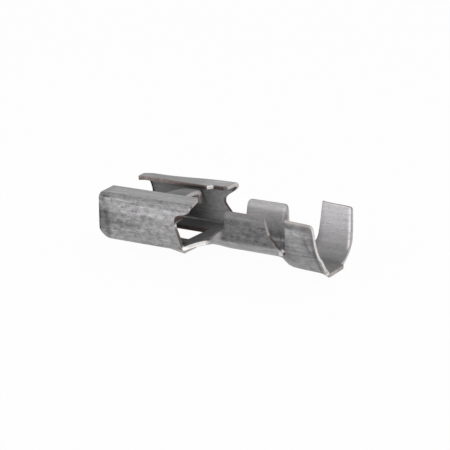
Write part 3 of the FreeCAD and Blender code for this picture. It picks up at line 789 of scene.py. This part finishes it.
rimMarks = [
    # painted glints on the near rims at the heel and by the notch, and a painted highlight on the rim of the
    # step's wedge
    ([nearSide], {
        "heelGlint": (1.0, between("x", 6.90, 7.64, 0.04), less("z", 1.0)),
        "shoulder": (0.80, between("x", 6.9, 7.6, 0.1), between("z", 2.6, 3.2, 0.1)),
        "lobeRimGlint": (1.0, between("x", 6.2, 6.6, 0.02), about("z", 1.84, 0.16)),
        "step": (-0.70, between("x", 12.7, 14.1, 0.1), less("z", 1.6)),
        "wedgeRimHighlight": (1.2, between("x", 13.62, 13.82, 0.04), less("z", 0.70)),
    }),
    ([farSide], {
        "notch": (-0.8, less("x", 9.2), between("z", 0.5, 2.9, 0.1)),
        # a painted glint on the far curl's step face
        "curlStepGlint": (1.0, curls, more("x", box["stepAt"] - 0.01), less("x", window["end"] + 0.01),
                     less("y", 2.4)),
        "insulationTop": (-0.35, more("x", 14.2), above("z", 2.85, 3.0)),
    }),
    (onTongue, {
        "edges": (-0.22,),
        "crown": (0.60, more("x", 3.0), more("z", 2.2)),
    }),
    ([], {
        "windowEdge": (-0.5, between("x", 1.6, 6.25, 0.02), less("out", 1.5), more("z", 0.11),
                       less("z", 0.21)),
        "lanceToe": (0.3, less("x", 6.5), less("z", 0.05)),
        "neck": (0.55, between("x", 7.64, 9.0, 0.06), less("z", 1.2)),
        "wingTops": (-0.08, between("x", 8.9, 16.5, 0.1), above("z", 2.4, 2.7)),
    }),
    ([curls, above("x", 7.0, 7.2)], {
        "curlRears": (0.42,),
        "nearCurlRear": (-0.06, nearSide),
    }),
    ([between("x", 11.9, 13.0, 0.1), between("z", 1.3, 2.75, 0.2)], {
        "conductorRears": (0.40,),
        "nearConductorRear": (-0.10, nearSide),
    }),
    ([above("x", 16.5, 16.7)], {
        "rear": (0.38,),
        "nearRear": (0.30, nearSide),
        "stubEnd": (-0.228, above("x", 17.05, 17.1)),
        "nearStubEnd": (-0.18, nearSide, above("x", 17.05, 17.1)),
    }),
]
mottleMarks = [
    (nearWall, {
        "wall": (0.55,),
        "front": (0.45, between("x", 0.7, 4.0, 0.5), between("z", 0.9, 2.5, 0.3)),
    }),
    ([onConductor], {"wingBand": (0.8, wingBand)}),
    ([nearSide, onInsulation], {"flank": (0.5,)}),
]
plainTone = {"inner": 1.10, "outer": 1.20, "rim": 0.10, "mottled": 0.30}
# painted shade over the whole tongue inside the box and over the inside of the step
paintedShade = {
    "tongue": (0.60, *onTongue),
    "stepFloor": (0.48, between("x", 12.7, 14.5, 0.3), below("z", 0.9, 1.9)),
}


def marked(place, mark):
    # the strength times the product of the ranges
    strength, *ranges = mark
    return strength * math.prod(part(place) for part in ranges)


def markedAreas(place, areas):
    total = 0.0
    for area, marks in areas:
        cover = marked(place, (1.0, *area))
        total = total + cover * sum(marked(place, mark) for mark in marks.values())
    return total


def sheetTones(points):
    # each tone is its plain value plus its marks, and two places get painted shade as a whole
    x, y, z = points.T
    place = {"x": x, "y": y, "z": z, "out": np.abs(y)}
    outer = plainTone["outer"] + markedAreas(place, outerMarks)
    inner = plainTone["inner"] + markedAreas(place, innerMarks)
    rim = plainTone["rim"] + markedAreas(place, rimMarks)
    mottled = plainTone["mottled"] + markedAreas(place, mottleMarks)
    return {
        "innerTone": inner * (1 - marked(place, paintedShade["stepFloor"])),
        "outerTone": outer * (1 - marked(place, paintedShade["tongue"])),
        "rimTone": np.clip(rim, -1, 1),
        "mottled": np.clip(mottled, 0, 1),
    }


def foldedSheet():
    points, quads, thin = weldGrids([boxGrid, tongueGrid(), lanceGrid()] + trunkGrids())
    piece = meshFrom("foldedSheet", points, quads)
    for name, values in sheetTones(points).items():
        piece.data.attributes.new(name, "FLOAT", "POINT").data.foreach_set("value", values.astype(np.float32))
    group = piece.vertex_groups.new(name="sheet")
    levels = np.round(thin, 2)
    for level in np.unique(levels):
        group.add(np.flatnonzero(levels == level).tolist(), float(level), "REPLACE")
    # the middle surface gets its thickness; its own side is the inside, the made side the outside
    solid = piece.modifiers.new("thickness", "SOLIDIFY")
    solid.thickness = strip["thickness"] * mm
    solid.offset = 0
    solid.vertex_group = "sheet"
    solid.thickness_vertex_group = 0
    # materials in order: inside, outside, cut rim and the rims' rounding
    solid.material_offset = 1
    solid.material_offset_rim = 2
    bevel = roundedRims(piece)
    bevel.use_clamp_overlap = False
    bevel.material = 3
    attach(piece, "root")
    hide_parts("terminal")
    print("sheet folded", len(points), "points", len(quads), "quads")
    return piece


# Stop ear: a tapered tab bent inward across the near wall's neck
ear = {
    "x": 6.42,  # rear face at the wall
    "top": 2.46,
    "height": 0.54,
    "reach": 1.00,
    "tipHeight": 0.08,
    "tipFall": 0.20,
    "tipBack": 0.08,
    "thickness": 0.30,
    "chamfer": 0.36,
    "root": 0.02,  # how far it starts inside the wall
    "rings": 9,
}


def stopEar():
    # rings along the ear, each a rectangle with its lower rear corner cut off, shrinking to the tip
    run = np.linspace(0, 1, ear["rings"])
    high = ear["top"] - ear["tipFall"] * run
    tall = ear["height"] + (ear["tipHeight"] - ear["height"]) * run
    y = -sideHalf - ear["root"] + (ear["reach"] + ear["root"]) * run
    cut = ear["chamfer"]
    corners = np.array([(0, 0), (1 - cut, 0), (1, cut), (1, 1), (0, 1)], float)
    x = ear["x"] + ear["tipBack"] * run[:, None] - ear["thickness"] * (1 - corners[:, 0])
    lift = np.where(corners[:, 1] == cut, cut * ear["height"], 0)[None] * (tall / ear["height"])[:, None]
    z = high[:, None] - tall[:, None] * (corners[:, 1] < 1) + lift
    rings = np.stack([x, np.broadcast_to(y[:, None], x.shape), z], axis=-1)
    number = np.arange(x.size).reshape(x.shape)
    ahead = np.roll(number, -1, axis=1)
    walls = np.stack([number[:-1], number[1:], ahead[1:], ahead[:-1]], axis=-1)
    faces = walls.reshape(-1, 4).tolist() + [number[0].tolist(), number[-1][::-1].tolist()]
    mesh = bpy.data.meshes.new("stopEar")
    mesh.from_pydata((rings.reshape(-1, 3) * mm).tolist(), [], faces)
    # the cut corner is light: a painted highlight on the ear's lower rear edge
    freshAndHighlight = np.append(np.tile(np.arange(len(corners)) == 1, len(walls)), [False, False])
    mesh.polygons.foreach_set("material_index", freshAndHighlight.astype(np.int32))
    piece = placed("stopEar", mesh)
    roundedRims(piece)
    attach(piece, "root")
    return piece


sheetPiece = foldedSheet()
earPiece = stopEar()


# Finishes. Each noise has its cells per millimetre along, across and up
tinFinish = {
    "base": (0.318, 0.312, 0.318),
    "metallic": 0.85,
    "roughness": 0.50,
    "roughSpread": 0.14,
    "drawn": {"scale": (0.35, 5.5, 5.5), "detail": 5, "roughness": 0.6},
    "smudge": {"scale": (2.0, 3.1, 3.1), "detail": 7, "roughness": 0.74, "low": 0.42, "high": 0.70},
    "grain": {"scale": (5, 9, 9), "detail": 4, "roughness": 0.7},
    "scratch": {"scale": (0.45, 13, 13), "detail": 2, "low": 0.64, "high": 0.72, "offset": (3, 5, 7)},
    "grainShare": 0.34,
    "scratchShare": 1.4,  # of the drawn streaks' share
    "smudgeShare": -0.62,
    "bump": 0.35,
    "bumpDepth": 0.012,
    "streaks": {"inside": 0.17, "outside": 0.34},
    "insideWear": 0.2,
}
rimFinish = {
    "worn": (0.17, 0.13, 0.12),
    # the fresh colour is also used for painted highlights on rims
    "freshAndHighlight": (0.90, 0.88, 0.86),
    "roughness": 0.42,
    "streak": {"scale": (2.2, 9, 9), "detail": 3},
    "streakShare": 0.5,
    "shade": 0.7,
    "darkest": 0.85,  # how much of the shade a tone of -1 takes away
    "glint": 0.4,
    "glintColor": (1.0, 0.98, 0.96),
    "glintFrom": 0.85,  # tone at which a bright glint begins
    "glintRise": 4.0,
}
softFinish = {
    "streak": {"scale": (3, 9, 9), "detail": 3},
    "streakDark": 0.6,
    "softRim": (0.28, 0.265, 0.26),
    "earCut": (0.21, 0.15, 0.13),
    # the ear's light edge colour is a painted highlight
    "earEdgeHighlight": (0.62, 0.58, 0.55),
}


def newMaterial(name):
    material = bpy.data.materials.new(name)
    material.use_nodes = True
    tree = material.node_tree
    return material, tree, tree.nodes["Principled BSDF"]


def fill(tree, node, values):
    # each socket is given another node's output, a color, or a number of its own
    for name, value in values.items():
        socket = node.inputs[name]
        if isinstance(value, bpy.types.NodeSocket):
            tree.links.new(value, socket)
        elif socket.type == "RGBA":
            socket.default_value = (*value, 1)
        else:
            socket.default_value = value


def noise(tree, scale, detail, roughness=0.5, low=0.3, high=0.7, offset=(0, 0, 0)):
    # noise over object coordinates, in cells per millimetre, spread to the range from 0 to 1
    place = tree.nodes.new("ShaderNodeTexCoord").outputs["Object"]
    mapping = tree.nodes.new("ShaderNodeMapping")
    cells = [value / mm for value in scale]
    fill(tree, mapping, {"Vector": place, "Scale": cells, "Location": offset})
    texture = tree.nodes.new("ShaderNodeTexNoise")
    place = mapping.outputs["Vector"]
    fill(tree, texture, {"Vector": place, "Scale": 1, "Detail": detail, "Roughness": roughness})
    spread = tree.nodes.new("ShaderNodeMapRange")
    fill(tree, spread, {"Value": texture.outputs["Fac"], "From Min": low, "From Max": high})
    return spread.outputs["Result"]


def combine(tree, operation, *values):
    node = tree.nodes.new("ShaderNodeMath")
    node.operation = operation
    fill(tree, node, dict(enumerate(values)))
    return node.outputs["Value"]


def mixedColor(tree, share, first, second):
    mix = tree.nodes.new("ShaderNodeMix")
    mix.data_type = "RGBA"
    colorSockets = [i for i, socket in enumerate(mix.inputs) if socket.type == "RGBA"]
    fill(tree, mix, {"Factor": share, **dict(zip(colorSockets, (first, second)))})
    return [socket for socket in mix.outputs if socket.type == "RGBA"][0]


def addScaled(tree, value, share, start):
    return combine(tree, "MULTIPLY_ADD", value, share, start)


def attribute(tree, name):
    node = tree.nodes.new("ShaderNodeAttribute")
    node.attribute_name = name
    return node.outputs["Fac"]


def scaledColor(tree, color, share):
    node = tree.nodes.new("ShaderNodeVectorMath")
    node.operation = "SCALE"
    fill(tree, node, {0: color, "Scale": share})
    return node.outputs["Vector"]


def tinnedSheet(name, toneName, wear, streaks):
    # drawn streaks along the strip, dark mottling, fine grain and a few light scratches
    material, tree, shader = newMaterial(name)
    drawn, smudge, grain, scratch = (
        noise(tree, **tinFinish[layer]) for layer in ("drawn", "smudge", "grain", "scratch"))
    dark = combine(tree, "MULTIPLY", smudge, wear if isinstance(wear, float) else attribute(tree, wear))
    plain = 1 - streaks / 2 - tinFinish["grainShare"] / 2
    shade = addScaled(tree, drawn, streaks, plain)
    shade = addScaled(tree, grain, tinFinish["grainShare"], shade)
    shade = addScaled(tree, scratch, tinFinish["scratchShare"] * streaks, shade)
    shade = addScaled(tree, dark, tinFinish["smudgeShare"], shade)
    tone = combine(tree, "MULTIPLY", shade, attribute(tree, toneName))
    spread = tinFinish["roughSpread"]
    rough = addScaled(tree, grain, spread, tinFinish["roughness"] - spread / 2)
    bump = tree.nodes.new("ShaderNodeBump")
    relief = combine(tree, "ADD", drawn, smudge)
    depth = tinFinish["bumpDepth"] * mm
    fill(tree, bump, {"Height": relief, "Strength": tinFinish["bump"], "Distance": depth})
    fill(tree, shader, {
        "Base Color": scaledColor(tree, tinFinish["base"], tone), "Metallic": tinFinish["metallic"],
        "Roughness": rough, "Normal": bump.outputs["Normal"]})
    return material


def cutRim():
    material, tree, shader = newMaterial("cutRim")
    streak = noise(tree, **rimFinish["streak"])
    # a tone from 0 to 1 runs from the worn colour to the fresh one, which also stands in for painted
    # highlights, and below 0 the worn colour gets darker
    tone = attribute(tree, "rimTone")
    color = mixedColor(tree, tone, rimFinish["worn"], rimFinish["freshAndHighlight"])
    under = combine(tree, "MINIMUM", tone, 0.0)
    shade = addScaled(tree, under, rimFinish["darkest"], rimFinish["shade"])
    shade = addScaled(tree, streak, rimFinish["streakShare"], shade)
    # a tone above glintFrom makes the rim glow: painted glints on the brightest rims
    rise = rimFinish["glintRise"]
    glint = addScaled(tree, tone, rise, -rise * rimFinish["glintFrom"])
    glow = combine(tree, "MULTIPLY", combine(tree, "MAXIMUM", glint, 0.0), rimFinish["glint"])
    fill(tree, shader, {
        "Base Color": scaledColor(tree, color, shade), "Metallic": 1, "Roughness": rimFinish["roughness"],
        "Emission Color": rimFinish["glintColor"], "Emission Strength": glow})
    return material


def plainRim(name):
    material, tree, shader = newMaterial(name)
    streak = noise(tree, **softFinish["streak"])
    color = softFinish[name]
    dark = tuple(softFinish["streakDark"] * part for part in color)
    streaked = mixedColor(tree, streak, dark, color)
    fill(tree, shader, {"Base Color": streaked, "Metallic": 1, "Roughness": rimFinish["roughness"]})
    return material


inside = tinnedSheet("tinnedInside", "innerTone", tinFinish["insideWear"], tinFinish["streaks"]["inside"])
outside = tinnedSheet("tinnedOutside", "outerTone", "mottled", tinFinish["streaks"]["outside"])
for finish in (inside, outside, cutRim(), plainRim("softRim")):
    sheetPiece.data.materials.append(finish)
for finish in (plainRim("earCut"), plainRim("earEdgeHighlight")):
    earPiece.data.materials.append(finish)
print("finishes made")


# Floor, light and background: pale, and white to the camera and in reflections
studio = {
    "backdrop": (1.0, 1.0, 1.0),
    "fill": 0.70,  # the background's share that lights the part
    "floor": {"half": 1.5, "color": (0.9, 0.9, 0.9), "roughness": 0.8, "specular": 0.1, "white": 0.96},
    # lamps in metres and watts
    "frontLamp": {"place": (-0.064, -0.135, 0.055), "size": 0.09, "power": 0.035},
    "topLamp": {"place": (-0.03, -0.03, 0.2), "size": 0.16, "power": 0.02},
}
photoCamera = {  # from a fit to the box's straight edges in the photo
    "azimuth": math.radians(29.4),
    "elevation": math.radians(16.07),
    "roll": math.radians(0.22),
    "target": (8.377, 0, 1.313),
    "distance": 92.8,
    "lens": 104.1,
    "sensor": 36,
    "clip": (0.01, 5),  # metres
}


def seenDirectly(tree):
    path = tree.nodes.new("ShaderNodeLightPath")
    camera = combine(tree, "MAXIMUM", path.outputs["Is Camera Ray"], path.outputs["Is Glossy Ray"])
    return combine(tree, "MAXIMUM", camera, path.outputs["Is Transmission Ray"])


def makeFloor():
    look = studio["floor"]
    size, z = look["half"], partLow.z - lance["lower"] * mm
    corners = [(-size, -size, z), (size, -size, z), (size, size, z), (-size, size, z)]
    mesh = bpy.data.meshes.new("floor")
    mesh.from_pydata(corners, [], [(0, 1, 2, 3)])
    floor = placed("floor", mesh)
    material, tree, shader = newMaterial("paleFloor")
    fill(tree, shader, {
        "Base Color": look["color"], "Roughness": look["roughness"], "Specular IOR Level": look["specular"]})
    glow = tree.nodes.new("ShaderNodeEmission")
    fill(tree, glow, {"Color": studio["backdrop"]})
    mix = tree.nodes.new("ShaderNodeMixShader")
    white = combine(tree, "MULTIPLY", seenDirectly(tree), look["white"])
    fill(tree, mix, {"Fac": white, 1: shader.outputs["BSDF"], 2: glow.outputs["Emission"]})
    fill(tree, tree.nodes["Material Output"], {"Surface": mix.outputs["Shader"]})
    mesh.materials.append(material)


def makeWorld():
    world = bpy.data.worlds.new("studioWorld")
    bpy.context.scene.world = world
    world.use_nodes = True
    tree = world.node_tree
    strength = addScaled(tree, seenDirectly(tree), 1 - studio["fill"], studio["fill"])
    fill(tree, tree.nodes["Background"], {"Color": studio["backdrop"], "Strength": strength})


def softLamp(name, target):
    look = studio[name]
    lamp = bpy.data.lights.new(name, "AREA")
    lamp.shape = "SQUARE"
    lamp.size = look["size"]
    lamp.energy = look["power"]
    holder = placed(name, lamp)
    holder.location = look["place"]
    aim = target - holder.location
    holder.rotation_euler = aim.to_track_quat("-Z", "Y").to_euler()


def makeCamera():
    # the camera stands back from its target along the direction with its azimuth and elevation
    azimuth, level = photoCamera["azimuth"], math.cos(photoCamera["elevation"])
    height = math.sin(photoCamera["elevation"])
    back = Vector((math.sin(azimuth) * level, -math.cos(azimuth) * level, height))
    target = Vector(photoCamera["target"]) * mm
    camera = bpy.data.cameras.new("photoCamera")
    camera.sensor_width = photoCamera["sensor"]
    camera.lens = photoCamera["lens"]
    camera.clip_start, camera.clip_end = photoCamera["clip"]
    holder = placed("photoCamera", camera)
    holder.location = target + back * photoCamera["distance"] * mm
    holder.rotation_mode = "QUATERNION"
    spin = Quaternion((0, 0, 1), photoCamera["roll"])
    holder.rotation_quaternion = back.to_track_quat("Z", "Y") @ spin
    bpy.context.scene.camera = holder
    return target


makeFloor()
makeWorld()
aimAt = makeCamera()
softLamp("frontLamp", aimAt)
softLamp("topLamp", aimAt)
bpy.context.scene.view_settings.view_transform = "Standard"
print("studio made")
